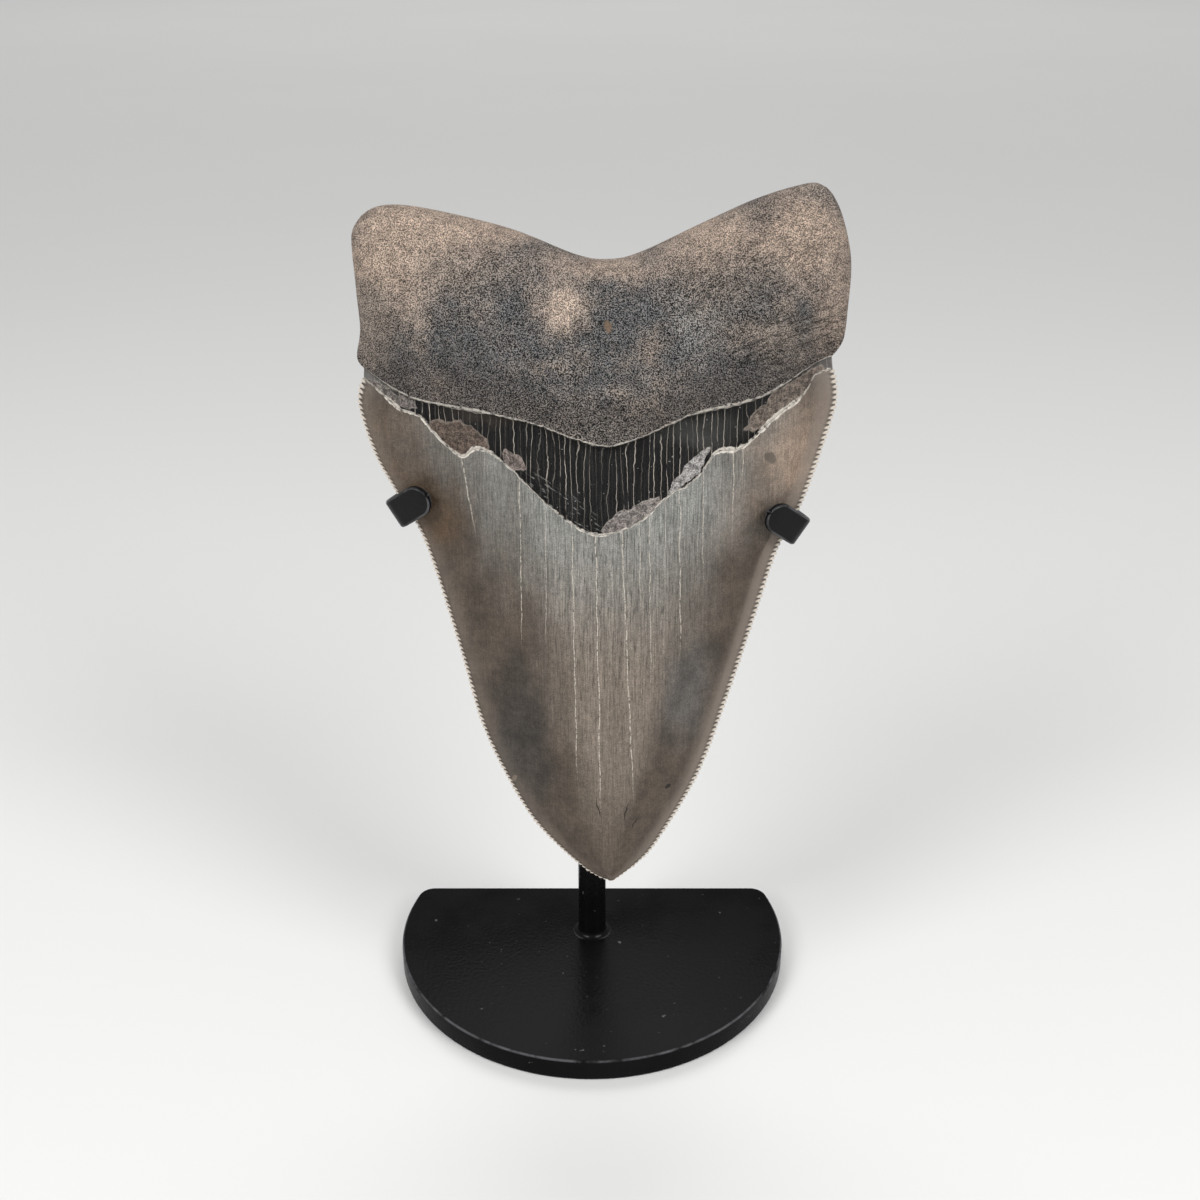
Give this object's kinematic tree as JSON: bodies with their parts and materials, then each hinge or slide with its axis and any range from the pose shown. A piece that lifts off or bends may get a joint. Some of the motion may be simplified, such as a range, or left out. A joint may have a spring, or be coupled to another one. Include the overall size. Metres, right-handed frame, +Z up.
{
  "type": "fossil shark tooth on a display stand",
  "caption": "Large serrated fossil shark tooth, point down, gripped at its edges by hooked straps on a bent post and a D-shaped base plate.",
  "frame": {"origin": "underside of the base plate, at the centre of its round part, under the post", "axes": "+Z up along the post; the tooth's rounded inner face and the plate's round front look along -Y; +X to the right as seen from the front"},
  "size_m": [0.0754, 0.048, 0.1391],
  "materials": {
    "tooth": "mineralised root with a fine grain and glossy grey-brown enamel",
    "base_plate": "satin black powder coat",
    "post": "satin black powder coat",
    "left_arm": "satin black powder coat",
    "right_arm": "satin black powder coat"
  },
  "bodies": {
    "root": {"tooth": "tooth", "base_plate": "base_plate", "post": "post", "left_arm": "left_arm", "right_arm": "right_arm"}
  },
  "joints": []
}
